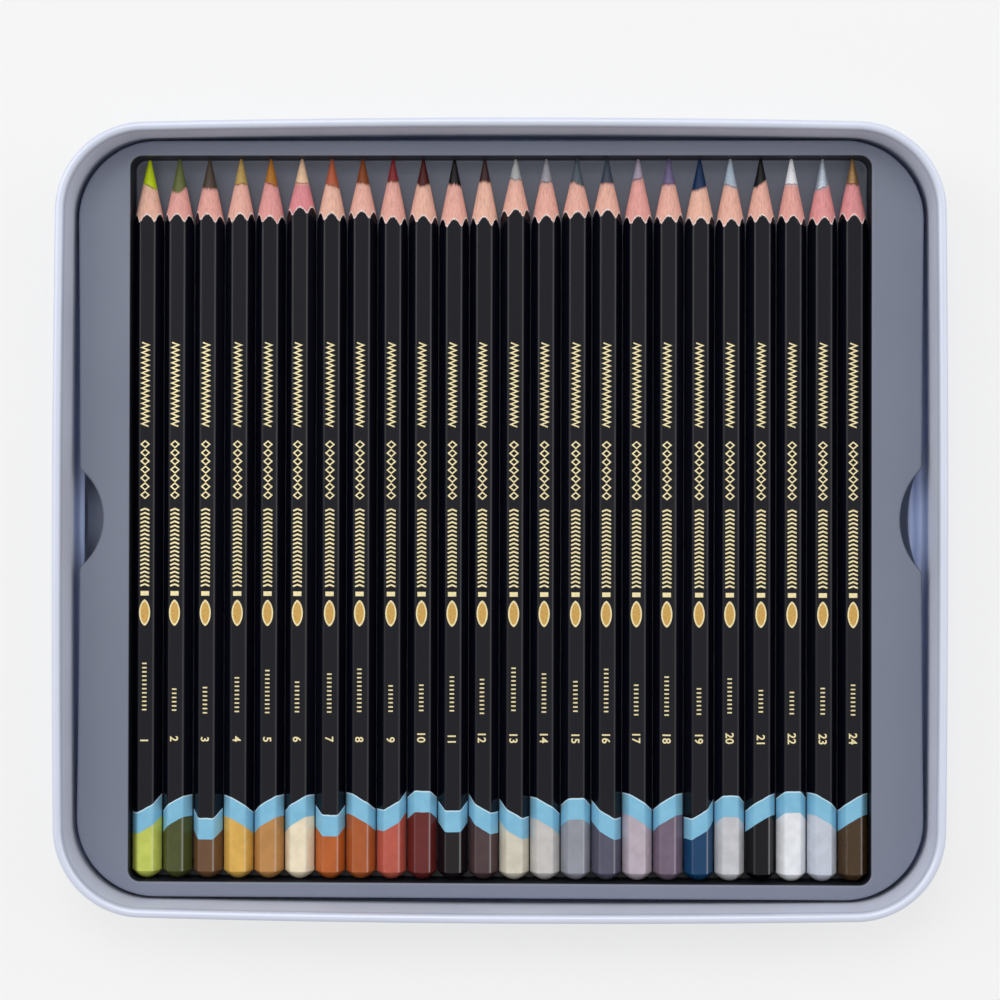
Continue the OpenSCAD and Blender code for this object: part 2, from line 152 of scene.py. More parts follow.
class Shader:
    """A material's node graph. Its calls return sockets."""

    def __init__(self, name):
        self.material = bpy.data.materials.new(name)
        self.material.use_nodes = True
        self.tree = self.material.node_tree
        self.tree.nodes.clear()

    def add(self, kind, inputs=(), **settings):
        node = self.tree.nodes.new(kind)
        for key, value in settings.items():
            setattr(node, key, value)
        for key, value in dict(inputs).items():
            if isinstance(value, bpy.types.NodeSocket):
                self.tree.links.new(value, node.inputs[key])
            else:
                node.inputs[key].default_value = value
        return node

    def math(self, operation, *values, clamp=False):
        node = self.add("ShaderNodeMath", enumerate(values), operation=operation, use_clamp=clamp)
        return node.outputs[0]

    def dot(self, vector, constant):
        node = self.add("ShaderNodeVectorMath", {0: vector, 1: constant}, operation="DOT_PRODUCT")
        return node.outputs["Value"]

    def place(self, scale=(1, 1, 1), shift=(0, 0, 0)):
        """Object coordinates in millimetres, scaled and shifted."""
        source = self.add("ShaderNodeTexCoord").outputs["Object"]
        values = {"Vector": source, "Scale": [1000 * c for c in scale], "Location": shift}
        return self.add("ShaderNodeMapping", values).outputs[0]

    def noise(self, vector, scale, detail=2, roughness=0.5):
        values = {"Vector": vector, "Scale": scale, "Detail": detail, "Roughness": roughness}
        return self.add("ShaderNodeTexNoise", values).outputs[0]

    def value(self, name):
        return self.add("ShaderNodeAttribute", attribute_name=name).outputs["Fac"]

    def fade(self, value, start, end, low=0.0, high=1.0):
        values = {"Value": value, "From Min": start, "From Max": end, "To Min": low, "To Max": high}
        kind = "ShaderNodeMapRange"
        return self.add(kind, values, interpolation_type="SMOOTHSTEP").outputs[0]

    def mix(self, factor, a, b, data="RGBA"):
        first = 6 if data == "RGBA" else 2
        values = {0: factor, first: a, first + 1: b}
        return self.add("ShaderNodeMix", values, data_type=data).outputs[2 if data == "RGBA" else 0]

    def bump(self, height, distance_mm, normal=None):
        values = {"Height": height, "Distance": distance_mm * MM}
        if normal:
            values["Normal"] = normal
        return self.add("ShaderNodeBump", values).outputs[0]

    def finish(self, **inputs):
        values = {key.replace("_", " "): value for key, value in inputs.items()}
        surface = self.add("ShaderNodeBsdfPrincipled", values)
        output = self.add("ShaderNodeOutputMaterial")
        self.tree.links.new(surface.outputs[0], output.inputs["Surface"])
        return self.material


# ---- Materials ----

def tinplate():
    """Rolled tin: its curl, and inside the wall painted lighter as painted light, turning darker and bluer
    towards the floor as painted shade.
    """
    s = Shader("tinplate")
    rolled = s.noise(s.place((0.6, 0.03, 0.6)), 4, 3, 0.6)
    smudge = s.noise(s.place(), 0.05, 4, 0.6)
    base = s.mix(smudge, (0.61, 0.65, 0.78, 1), (0.67, 0.71, 0.83, 1))
    depth = s.value("depth")
    # Painted light: the inner wall gets a lighter copy of the tin's own colour
    wall = s.mix(smudge, (0.78, 0.81, 0.94, 1), (0.83, 0.86, 0.97, 1))
    base = s.mix(s.fade(depth, 1.3, 2.4), base, wall)
    # Painted shade: deep down by the floor the tin is painted darker and bluer
    base = s.mix(s.fade(depth, 13, 15), base, (0.42, 0.50, 0.76, 1))
    gloss = s.math("ADD", s.fade(smudge, 0.3, 0.7, 0.3, 0.38), s.math("MULTIPLY", rolled, 0.08))
    normal = s.bump(rolled, 0.002)
    return s.finish(Base_Color=base, Metallic=0.15, Roughness=gloss, Normal=normal)


def tray_plastic():
    """Grained gray sheet, with painted shade in its recess and scoops."""
    s = Shader("tray_plastic")
    cloud = s.noise(s.place(), 0.03, 3, 0.55)
    grain = s.noise(s.place(), 3.2, 2, 0.6)
    scuff = s.noise(s.place((0.25, 3.0, 1.0)), 0.8, 3, 0.7)
    base = s.mix(cloud, (0.160, 0.178, 0.238, 1), (0.190, 0.210, 0.275, 1))
    base = s.mix(s.fade(scuff, 0.68, 0.8, 0, 0.35), base, (0.28, 0.30, 0.36, 1))
    # Painted shade: the sheet is painted dark where it stands upright in the recess and the scoops
    upright = s.dot(s.add("ShaderNodeTexCoord").outputs["Normal"], (0, 0, 1))
    drawn = s.math("MULTIPLY", s.fade(upright, 0.85, 0.35), s.value("drawn"))
    base = s.mix(drawn, base, PAINTED_SHADE_COLOR)
    # Painted shade too along the low end of the recess, round the pencils' domed ends
    place = s.place()
    end_shade = s.fade(s.dot(place, (0, 1, 0)), -82.4, -84.6)
    below = s.fade(s.dot(place, (0, 0, 1)), 7.4, 6.4)
    base = s.mix(s.math("MULTIPLY", end_shade, below), base, PAINTED_SHADE_COLOR)
    gloss = s.math("ADD", s.fade(cloud, 0.3, 0.7, 0.34, 0.42), s.math("MULTIPLY", grain, 0.08))
    normal = s.bump(grain, 0.006)
    return s.finish(Base_Color=base, Roughness=gloss, Normal=normal)


def casing(number):
    """Dip, band, lacquer, primer and wood on one barrel."""
    n = number - 1
    s = Shader(f"casing_{number:02d}")
    offset = (17.3 * number, 5.1 * number, 41.7 * number)
    place = s.place()
    wander = s.noise(s.place((1, 1, 1), offset), 0.35, 2)
    fine = s.noise(s.place((1, 1, 1), offset), 5.0, 3, 0.7)
    turn = math.radians(DIP_TURNS[n])
    plane = (-DIP_SLANT * math.sin(turn), DIP_SLANT * math.cos(turn), 1)
    above_dip = s.math("SUBTRACT", s.dot(place, plane), DIP_L + DIP_SHIFTS.get(number, 0))
    above_dip = s.math("ADD", above_dip, s.fade(wander, 0.3, 0.7, -0.06, 0.06))
    in_dip = s.fade(above_dip, 0.03, -0.03)
    in_band = s.fade(above_dip, BAND_W + 0.03, BAND_W - 0.03)
    rim = s.math("MULTIPLY", s.fade(above_dip, -0.5, -0.1), in_dip)
    cut = s.value("cut")
    frayed = s.math("ADD", cut, s.fade(fine, 0.3, 0.7, -0.22, 0.22))
    bare = s.fade(frayed, -0.05, 0.05)
    primed = s.fade(frayed, 0.38, 0.24)

    grain = s.noise(s.place((2.6, 2.6, 0.14), offset), 1, 4, 0.65)
    pore = s.noise(s.place((7, 7, 0.5), offset), 1, 2, 0.6)
    wood = tuple(
        tan + (rose - tan) * ROSINESS[n] for tan, rose in zip(linear(WOOD_TAN), linear(WOOD_ROSE))
    )
    dark = tuple(0.74 * c for c in wood[:3]) + (1,)
    color = s.mix(s.fade(grain, 0.38, 0.75), wood, dark)
    color = s.mix(s.fade(pore, 0.68, 0.78, 0, 0.3), color, (0.22, 0.09, 0.05, 1))
    near_lead = s.math("ADD", s.value("to_lead"), s.fade(fine, 0.3, 0.7, -0.3, 0.3))
    color = s.mix(s.fade(near_lead, 0.9, 0.0, 0, 0.6), color, linear(LEADS[n]))
    color = s.mix(primed, color, (0.86, 0.72, 0.68, 1))
    painted_highlight = s.value("painted_highlight")
    lacquer = s.mix(wander, (0.001, 0.0011, 0.004, 1), (0.0022, 0.0024, 0.0065, 1))
    # Painted highlight: the lacquer is painted paler along the barrel's corners
    lacquer = s.mix(painted_highlight, lacquer, (0.03, 0.03, 0.034, 1))
    color = s.mix(bare, lacquer, color)
    band = s.mix(wander, linear("72b0cf"), linear("8cc3dd"))
    # The band's upper edge is painted paler: partly the paint's own thick rim, partly painted highlight
    band = s.mix(s.fade(above_dip, BAND_W - 0.42, BAND_W - 0.2, 0, 0.75), band, linear("d6ecf6"))
    color = s.mix(in_band, color, band)
    dip = linear(DIPS[n])
    deep = tuple(0.88 * c for c in dip[:3]) + (1,)
    dip = s.mix(s.fade(wander, 0.3, 0.7), deep, dip)
    if number in PEARLY:
        fleck = s.noise(s.place((1, 1, 1), offset), 7, 1, 0.5)
        dip = s.mix(s.fade(fleck, 0.6, 0.7, 0, 0.5), dip, linear(PEARLY[number]))
    # Painted shade: the domed end is painted darker than the rest of the dip
    dome_shade = tuple(0.6 * c for c in deep[:3]) + (1,)
    dip = s.mix(s.fade(s.dot(place, (0, 0, 1)), 2.15, 1.9, 0, 0.35), dip, dome_shade)
    # Painted highlight: the dip is painted towards white along the corners
    dip = s.mix(s.math("MULTIPLY", painted_highlight, 0.2), dip, (0.9, 0.9, 0.9, 1))
    color = s.mix(in_dip, color, dip)

    gloss = s.mix(bare, s.fade(fine, 0.2, 0.8, 0.2, 0.27), 0.62, "FLOAT")
    gloss = s.mix(in_band, gloss, 0.2, "FLOAT")
    gloss = s.mix(in_dip, gloss, 0.12, "FLOAT")
    steps = s.math("ADD", in_band, s.math("ADD", in_dip, s.math("MULTIPLY", rim, 0.5)))
    steps = s.math("SUBTRACT", steps, s.math("MULTIPLY", bare, 1.2))
    normal = s.bump(steps, 0.05)
    wood_ripple = s.math("MULTIPLY", s.math("MULTIPLY", grain, 6), bare)
    ripple = s.math("ADD", s.math("MULTIPLY", wander, 2), wood_ripple)
    normal = s.bump(ripple, 0.008, normal)
    return s.finish(Base_Color=color, Roughness=gloss, Normal=normal, Specular_IOR_Level=0.25)


def lead(number):
    """A colored core, waxy, with the sharpener's rings."""
    s = Shader(f"lead_{number:02d}")
    offset = (3.3 * number, 9.1 * number, 27.7 * number)
    mottle = s.noise(s.place((1, 1, 1), offset), 2.2, 4, 0.65)
    rings = s.noise(s.place((0.3, 0.3, 5), offset), 1, 2, 0.6)
    color = linear(LEADS[number - 1])
    dark, pale = ([min(1, k * c) for c in color[:3]] + [1] for k in (0.84, 1.1))
    base = s.mix(s.fade(mottle, 0.3, 0.7), dark, pale)
    if number == 24:
        fleck = s.noise(s.place(), 6, 2, 0.6)
        base = s.mix(s.fade(fleck, 0.6, 0.68), base, (0.75, 0.55, 0.12, 1))
    gloss = s.fade(rings, 0.3, 0.7, 0.28, 0.4)
    normal = s.bump(s.math("ADD", rings, s.math("MULTIPLY", mottle, 0.5)), 0.03)
    metallic = 0.35 if number in (23, 24) else 0.0
    return s.finish(
        Base_Color=base, Roughness=gloss, Normal=normal, Metallic=metallic, Specular_IOR_Level=0.2,
    )


def gold_foil():
    """Worn gold foil, deeper in tone inside the leaf."""
    s = Shader("gold_foil")
    worn = s.noise(s.place(), 2.4, 3, 0.7)
    base = s.mix(worn, (0.70, 0.56, 0.26, 1), (0.95, 0.86, 0.56, 1))
    base = s.mix(s.value("deep"), base, s.mix(worn, (0.50, 0.29, 0.07, 1), (0.66, 0.42, 0.14, 1)))
    gloss = s.fade(worn, 0.3, 0.7, 0.25, 0.42)
    normal = s.bump(worn, 0.01)
    return s.finish(Base_Color=base, Metallic=1.0, Roughness=gloss, Normal=normal)


# ---- Meshes ----

def skin(rings, caps=(True, True)):
    """Points and faces of a tube through rings of equal length, closed at its ends where asked."""
    rings = np.asarray(rings, float)
    rows, columns = rings.shape[:2]
    faces = [
        (r * columns + c, r * columns + (c + 1) % columns,
         (r + 1) * columns + (c + 1) % columns, (r + 1) * columns + c)
        for r in range(rows - 1) for c in range(columns)
    ]
    if caps[0]:
        faces.append(tuple(range(columns))[::-1])
    if caps[1]:
        faces.append(tuple(range((rows - 1) * columns, rows * columns)))
    return rings.reshape(-1, 3), faces


def piece(name, points, faces, material, body, nodes=(), matrix=None, values=(), sharp=()):
    """A smooth-shaded mesh object from points in millimetres, riding on a CAD body."""
    mesh = bpy.data.meshes.new(name)
    mesh.from_pydata([tuple(p) for p in np.asarray(points) * MM], [], faces)
    for key, numbers in dict(values).items():
        mesh.attributes.new(key, "FLOAT", "POINT").data.foreach_set("value", numbers)
    mesh.shade_smooth()
    if sharp:
        wanted = {tuple(sorted(pair)) for pair in sharp}
        for edge in mesh.edges:
            edge.use_edge_sharp = tuple(sorted(edge.vertices)) in wanted
    mesh.materials.append(material)
    mesh.validate()
    obj = bpy.data.objects.new(name, mesh)
    bpy.context.scene.collection.objects.link(obj)
    if matrix is not None:
        obj.matrix_world = matrix
    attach(obj, body)
    if nodes:
        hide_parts(*nodes)
    return obj


def bowed_outline():
    """Points and outward directions of the tin's rim, where every edge is an arc tangent to its corners."""
    half_w, half_l = TIN_HALF
    end_slope, side_slope = math.tan(END_BOW / 2), math.tan(SIDE_BOW / 2)
    reach = 1 - end_slope * side_slope
    x = (half_w - TIN_CORNER - (half_l - TIN_CORNER) * side_slope) / reach
    y = (half_l - TIN_CORNER - (half_w - TIN_CORNER) * end_slope) / reach
    end_r = TIN_CORNER + x / math.sin(END_BOW)
    side_r = TIN_CORNER + y / math.sin(SIDE_BOW)
    quarter = [
        (half_w - side_r, 0, side_r, a) for a in np.linspace(0, SIDE_BOW, 8, endpoint=False)
    ] + [
        (x, y, TIN_CORNER, a)
        for a in np.linspace(SIDE_BOW, math.pi / 2 - END_BOW, 24, endpoint=False)
    ] + [
        (0, half_l - end_r, end_r, a)
        for a in np.linspace(math.pi / 2 - END_BOW, math.pi / 2, 9)
    ]
    rows = np.array([
        (cx + r * math.cos(a), cy + r * math.sin(a), math.cos(a), math.sin(a)) for cx, cy, r, a in quarter
    ])
    flip_x, flip_y = np.array([-1, 1, -1, 1]), np.array([1, -1, 1, -1])
    left = rows[-2::-1] * flip_x
    lower_left = rows[1:] * flip_x * flip_y
    lower_right = rows[-2:0:-1] * flip_y
    return np.vstack([rows, left, lower_left, lower_right])


def arc(cx, cz, r, start, end, steps):
    """Points on an arc in a section, with angles in degrees."""
    angles = np.radians(np.linspace(start, end, steps))
    return [(cx + r * math.cos(a), cz + r * math.sin(a)) for a in angles]


def make_tin():
    """The tin's sheet: one section, swept round the bowed outline and closed under the floor and over it."""
    curl = (-CURL_R, TIN_H - CURL_R)
    wall = -2 * CURL_R
    foot = wall - TIN_DRAFT
    floor_x = foot + TIN_T - TIN_FLOOR_R
    bead_x = floor_x - BEAD_INSET
    bead_r = (BEAD_W ** 2 / 4 + BEAD_H ** 2) / (2 * BEAD_H)
    bead_half = math.degrees(math.asin(BEAD_W / 2 / bead_r))
    bead_z = BEAD_H - bead_r
    top_half = math.degrees(math.acos((TIN_T - bead_z) / (bead_r + TIN_T)))
    slit = math.degrees(math.asin(0.4))
    end_x = bead_x - BEAD_W - 2

    def wall_points(shift, shares):
        rise = curl[1] - TIN_FLOOR_R
        return [(foot + shift + (wall - foot) * t, TIN_FLOOR_R + rise * t) for t in shares]

    section = (
        [(end_x, TIN_T), (end_x + 1, TIN_T)]
        + arc(bead_x, bead_z, bead_r + TIN_T, 90 + top_half, 90 - top_half, 9)
        + arc(floor_x, TIN_FLOOR_R, TIN_FLOOR_R - TIN_T, -90, 0, 7)
        + wall_points(0, (0.1, 0.5, 0.9))
        + arc(*curl, CURL_R, 180, -90 - slit, 21)
        + arc(*curl, CURL_R - TIN_T, -90 - 34, 180, 17)
        + wall_points(TIN_T, (0.9, 0.5, 0.1))
        + arc(floor_x, TIN_FLOOR_R, TIN_FLOOR_R, 0, -90, 7)
        + arc(bead_x, bead_z, bead_r, 90 - bead_half, 90 + bead_half, 9)
        + [(end_x + 1, 0), (end_x, 0)]
    )
    outline = bowed_outline()
    rings = [
        np.column_stack([outline[:, :2] + x * outline[:, 2:], np.full(len(outline), z)]) for x, z in section
    ]
    points, faces = skin(rings)
    # The first rows are the inside: the floor's end, the bead, the rounded foot and the wall
    inner_rows = 2 + 9 + 7 + 3
    depth = np.array([TIN_H - z if row < inner_rows else 0 for row, (_, z) in enumerate(section)])
    piece(
        "tin", points, [f[::-1] for f in faces], tinplate(), "tin", ["tin_base"],
        values={"depth": np.repeat(depth, len(outline)).astype(np.float32)},
    )


def scooped_side(edge, span, scoop_x, scoop_r, fillet):
    """Points up one side of the flange past its finger scoop, each with its share of the scoop's slope."""
    reach = scoop_x - edge + fillet
    y = math.sqrt((scoop_r + fillet) ** 2 - reach ** 2)
    turn = math.atan2(y, reach)

    def bend(cx, cy, r, start, end, steps, first, last):
        t = np.arange(steps) / steps
        a = start + (end - start) * t
        return np.column_stack([cx + r * np.cos(a), cy + r * np.sin(a), first + (last - first) * t])

    def run(start, end, steps):
        up = start + (end - start) * np.arange(steps) / steps
        return np.column_stack([np.full(steps, edge), up, np.zeros(steps)])

    return np.vstack([
        run(-span, -y, 10),
        bend(edge - fillet, -y, fillet, 0, turn, 7, 0, 1),
        bend(scoop_x, 0, scoop_r, math.pi + turn, math.pi - turn, 30, 1, 1),
        bend(edge - fillet, y, fillet, -turn, 0, 7, 1, 0),
        run(y, span, 10),
    ])


def closed_ring(half_w, half_l, corner, sides):
    """A ring of points from two sides, each with the corner and the end edge that follow it."""
    rings = []
    for sign, side in zip((1, -1), sides):
        a = np.radians(np.arange(18) * 5)
        x, y = half_w - corner, half_l - corner
        first = np.column_stack([x + corner * np.cos(a), y + corner * np.sin(a), 0 * a])
        t = np.arange(20) / 20
        end = np.column_stack([x - 2 * x * t, np.full(20, half_l), 0 * t])
        second = np.column_stack([-x - corner * np.sin(a), y + corner * np.cos(a), 0 * a])
        half = np.vstack([side, first, end, second])
        half[:, :2] *= sign
        rings.append(half)
    return np.vstack(rings)


def chord_circle(edge, width, depth):
    """Center and radius of the circle that cuts this width and depth out of an upright edge."""
    r = (width ** 2 / 4 + depth ** 2) / (2 * depth)
    return edge - depth + r, r


def make_tray():
    """The tray's formed sheet: skirt, flange with its two finger scoops, and the recess for the pencils."""
    def level(inset, z, scoop_levels):
        """One ring of the flange, this far in from its edge, past each scoop's center, radius and height."""
        half_w, half_l, corner = (FLANGE_HALF[0] - inset, FLANGE_HALF[1] - inset, FLANGE_CORNER - inset)
        fillet = max(SHOULDER_R - inset, 0.35)
        span = half_l - corner
        sides = [scooped_side(half_w, span, center, radius, fillet) for center, radius, _ in scoop_levels]
        ring = closed_ring(half_w, half_l, corner, sides)
        beside = np.abs(ring[:, 1]) < span
        bow = FLANGE_BOW * (1 - (ring[:, 1] / span) ** 2)
        ring[:, 0] -= np.where(beside, np.sign(ring[:, 0]) * bow, 0)
        half = len(ring) // 2
        heights = np.concatenate([np.full(half, scoop_levels[0][2]), np.full(half, scoop_levels[1][2])])
        return np.column_stack([ring[:, :2], z + (heights - z) * ring[:, 2]])

    rims = []
    for width, depth, lean, _ in (RIGHT_SCOOP, LEFT_SCOOP):
        center, top_r = chord_circle(FLANGE_HALF[0], width, depth)
        rims.append((center, top_r + SCOOP_LIP_R * tan_degrees((90 - lean) / 2), math.radians(lean)))
    rings = []
    round_z = FLANGE_Z - FLANGE_EDGE_R
    rings.append(level(FLANGE_EDGE_R + 0.7, FLANGE_Z, [(center, r + 0.7, FLANGE_Z) for center, r, _ in rims]))
    for t in np.linspace(0, 1, 8):
        a = math.pi / 2 * (1 - t)
        scoop_levels = []
        for center, rim_r, lean in rims:
            b = math.pi / 2 + (lean - math.pi / 2) * t
            rim_z = FLANGE_Z - SCOOP_LIP_R + SCOOP_LIP_R * math.sin(b)
            scoop_levels.append((center, rim_r - SCOOP_LIP_R * math.cos(b), rim_z))
        edge_z = round_z + FLANGE_EDGE_R * math.sin(a)
        rings.append(level(FLANGE_EDGE_R * (1 - math.cos(a)), edge_z, scoop_levels))
    top_levels = scoop_levels
    for t in (0.08, 0.2, 0.4, 0.6, 0.8, 1):
        edge = FLANGE_HALF[0] + SKIRT_SPREAD * t
        scoop_levels = []
        for (center, r, z), (_, _, _, foot_depth) in zip(top_levels, (RIGHT_SCOOP, LEFT_SCOOP)):
            depth = FLANGE_HALF[0] - (center - r)
            width = 2 * math.sqrt(r ** 2 - (center - FLANGE_HALF[0]) ** 2)
            foot_center, foot_r = chord_circle(edge, width, depth + (foot_depth - depth) * t)
            scoop_levels.append((foot_center, foot_r, z - (z - SKIRT_Z) * t))
        rings.append(level(-SKIRT_SPREAD * t, round_z - (round_z - SKIRT_Z) * t, scoop_levels))

    # The recess's rings have the flange's spacing up the sides, so that their points pair up
    shares = rings[0][:, 1] / (FLANGE_HALF[1] - FLANGE_CORNER)
    side_count = 64

    def recess(inset, z):
        half_w, half_l, corner = (RECESS_HALF[0] - inset, RECESS_HALF[1] - inset, RECESS_CORNER - inset)
        half = len(shares) // 2
        sides = [
            np.column_stack([
                np.full(side_count, half_w),
                sign * shares[start:start + side_count] * (half_l - corner), np.zeros(side_count),
            ])
            for sign, start in ((1, 0), (-1, half))
        ]
        ring = closed_ring(half_w, half_l, corner, sides)
        return np.column_stack([ring[:, :2], np.full(len(ring), z)])

    # Down over the lip and the wall, and round the foot to the floor
    inner = [recess(-LIP_R - 0.5, FLANGE_Z)]
    for a in np.radians(np.linspace(90, 0, 7)):
        inner.append(recess(-LIP_R * (1 - math.cos(a)), FLANGE_Z - LIP_R + LIP_R * math.sin(a)))
    for a in np.radians(np.linspace(0, 90, 7)):
        inner.append(recess(
            RECESS_FLOOR_R * (1 - math.cos(a)), RECESS_Z + RECESS_FLOOR_R * (1 - math.sin(a)),
        ))
    inner.append(recess(RECESS_FLOOR_R + 0.6, RECESS_Z))
    points, faces = skin(rings[::-1] + inner, (False, True))
    outer = len(rings) * len(rings[0])
    # Where the upright sheet gets painted shade: round the scoops on the flange, and all over the recess
    in_scoop = np.abs(points[:, 1]) < max(RIGHT_SCOOP[0], LEFT_SCOOP[0]) / 2 + SHOULDER_R
    drawn = np.where(np.arange(len(points)) < outer, in_scoop, 1).astype(np.float32)
    tray = piece(
        "tray_shell", points, faces, tray_plastic(), "tray", ["tray"],
        values={"drawn": drawn},
    )
    solid = tray.modifiers.new("sheet", "SOLIDIFY")
    solid.thickness, solid.offset, solid.use_even_offset = SHEET_T * MM, -1, True


def hexagon():
    """Points around a barrel with rounded corners, and the unit direction of each."""
    fillet = (FLAT_R / math.cos(math.pi / 6) - CORNER_R) / (1 / math.cos(math.pi / 6) - 1)
    center = (FLAT_R - fillet) / math.cos(math.pi / 6)
    points = []
    for corner in range(6):
        turn = math.radians(60 * corner)
        middle = np.array([center * math.cos(turn), center * math.sin(turn)])
        bends = [turn + math.radians(a) for a in (-30, -18, -6, 6, 18, 30)]
        round_part = [middle + fillet * np.array([math.cos(a), math.sin(a)]) for a in bends]
        after = turn + math.radians(60)
        far = np.array([center * math.cos(after), center * math.sin(after)])
        far = far + fillet * np.array([math.cos(bends[-1]), math.sin(bends[-1])])
        flat_part = [round_part[-1] + (far - round_part[-1]) * k / 9 for k in range(1, 9)]
        points += round_part + flat_part
    return np.array(points)


def pencil_place(number):
    """A pencil's own frame: its axis is +Z, and its domed end is at 0."""
    roll = ROLLS[number - 1]
    bite = math.degrees(math.acos(SEAT_FLAT_R / SEAT_CORNER_R))
    axis_z = RECESS_Z + SEAT_GAP + SEAT_CORNER_R * math.cos(math.radians(max(bite - abs(roll), 0)))
    place = Vector(((number - (PENCILS + 1) / 2) * PITCH, END_Y, axis_z)) * MM
    turn = Matrix.Rotation(math.radians(-90), 4, "X") @ Matrix.Rotation(math.radians(roll), 4, "Z")
    return Matrix.Translation(place) @ turn


def make_pencil(number, section):
    """One sharpened pencil: its painted barrel with the wood, and its core."""
    rng = random.Random(100 + number)
    rho = np.hypot(section[:, 0], section[:, 1])
    mean = rho.mean()
    off = rng.uniform(0.04, 0.14)
    off_turn = rng.uniform(0, 2 * math.pi)
    offset = off * np.array([math.cos(off_turn), math.sin(off_turn)])
    spoke = section - offset
    far = np.hypot(spoke[:, 0], spoke[:, 1])
    spoke = spoke / far[:, None]
    point_tan = (FLAT_R - TIP_R) / POINT_LENGTHS[number - 1]
    apex = PENCIL_L + TIP_R / point_tan
    # Where the cone meets the barrel, higher on the flats than at the corners
    scallop = apex - far / point_tan
    angle = np.arctan2(spoke[:, 1], spoke[:, 0])

    height, slant, cup, ragged = LEAD_EDGES[number - 1]
    edge = height + slant * spoke[:, 0] + cup * np.maximum(-spoke[:, 1], 0) ** 2
    for wave in (2, 3, 5, 8, 13, 21):
        edge = edge + ragged * rng.uniform(0.3, 1) * np.cos(wave * angle + rng.uniform(0, 6.3))

    def on_cone(s):
        radius = np.reshape((apex - s) * point_tan, (-1, 1))
        return np.column_stack([offset + spoke * radius, np.broadcast_to(s, len(spoke))])

    def at(scale, s):
        return np.column_stack([section * scale, np.full(len(section), s)])

    rings, cuts = [], []

    def ring(points, cut):
        rings.append(points)
        cuts.append(np.broadcast_to(cut, len(section)))

    for k in range(1, 13):
        f, c = math.sin(math.pi / 24 * k), math.cos(math.pi / 24 * k)
        scale = f * (f * f + (1 - f * f) * mean / rho)
        ring(at(scale[:, None], DOME_H * (0.85 * f * f + 0.15 * (1 - c))), -150)
    dome_row = len(rings) - 1
    for s in (3, 8, 30, 70, 110, 145, 155, 157.5):
        ring(at(1, s), s - scallop)
    ring(np.column_stack([section, scallop]), 0)
    scallop_row = len(rings) - 1
    for t in (0.03, 0.1, 0.2, 0.35, 0.5, 0.65, 0.8, 0.92, 1):
        s = scallop + (edge - scallop) * t
        ring(on_cone(s), s - scallop)
    # The bore narrows at its mouth where the wood left round it is thin
    mouth = np.minimum(LEAD_R + BORE_GAP, (apex - edge + MOUTH_DEPTH) * point_tan - 0.02)[:, None]
    ring(np.column_stack([offset + spoke * mouth, edge - MOUTH_DEPTH]), 5)
    for s in (BORE_TOP, END_WALL):
        ring(np.column_stack([spoke * (LEAD_R + BORE_GAP), np.full(len(spoke), s)]), 5)
    points, faces = skin(rings)
    columns = len(section)
    sharp = [
        (row * columns + c, row * columns + (c + 1) % columns)
        for row in (dome_row, scallop_row) for c in range(columns)
    ]
    # Painted highlight: one corner of each barrel is painted paler, and the others only faintly
    painted_highlight = np.zeros(columns)
    for corner in range(6):
        strength = 1.0 if corner == 5 else 0.15
        painted_highlight[14 * corner:14 * corner + 6] = strength * np.array((0, 0.15, 1, 1, 0.15, 0))
    to_lead = np.tile(edge, len(rings)) - points[:, 2]
    name = f"pencil_{number:02d}"
    piece(
        f"{name}_barrel", points, faces, casing(number), name,
        [f"{name}_casing"], pencil_place(number),
        {
            "cut": np.concatenate(cuts).astype(np.float32), "to_lead": to_lead.astype(np.float32),
            "painted_highlight": np.outer(np.arange(len(rings)) >= dome_row, painted_highlight).ravel().astype(np.float32),
        }, sharp,
    )

    tip = PENCIL_L + TIP_REACH - WEARS.get(number, 0)
    blunt = BLUNTS.get(number, BLUNT)
    shoulder = tip - blunt
    cone = [
        np.column_stack([spoke * LEAD_R, np.full(len(spoke), END_WALL + BORE_GAP)]),
        np.column_stack([spoke * LEAD_R, np.full(len(spoke), BORE_TOP - BORE_GAP)]),
        np.column_stack([offset + spoke * (mouth - BORE_GAP), edge - MOUTH_DEPTH - BORE_GAP]),
    ]
    for t in (0, 0.05, 0.2, 0.4, 0.6, 0.8, 0.95, 1):
        cone.append(on_cone(edge - BORE_GAP + (shoulder - edge) * t))
    r0 = (apex - shoulder) * point_tan
    for a in np.radians((20, 40, 58, 74)):
        cone.append(np.column_stack([
            offset + spoke * (r0 * math.cos(a)), np.full(len(spoke), shoulder + blunt * math.sin(a)),
        ]))
    points, faces = skin(cone)
    piece(
        f"{name}_core", points, faces, lead(number), name,
        [f"{name}_lead"], pencil_place(number),
    )


def ribbon(points, width):
    """Outline of a line of this width through the points, mitred at its turns."""
    line = np.array(points, float)
    steps = np.diff(line, axis=0)
    steps /= np.hypot(steps[:, 0], steps[:, 1])[:, None]
    normals = np.column_stack([-steps[:, 1], steps[:, 0]])
    miters = np.vstack([normals, normals[-1:]]) + np.vstack([normals[:1], normals])
    miters *= width / np.sum(miters ** 2, axis=1, keepdims=True)
    return [tuple(p) for p in np.vstack([line - miters, (line + miters)[::-1]])]


def lozenge(z, half_width, half_length, hole):
    """Four mitred sides of a hollow lozenge."""
    outer = [(0, z + half_length), (-half_width, z), (0, z - half_length), (half_width, z)]
    inner = [(hole * x, z + hole * (y - z)) for x, y in outer]
    return [[outer[i], outer[(i + 1) % 4], inner[(i + 1) % 4], inner[i]] for i in range(4)]


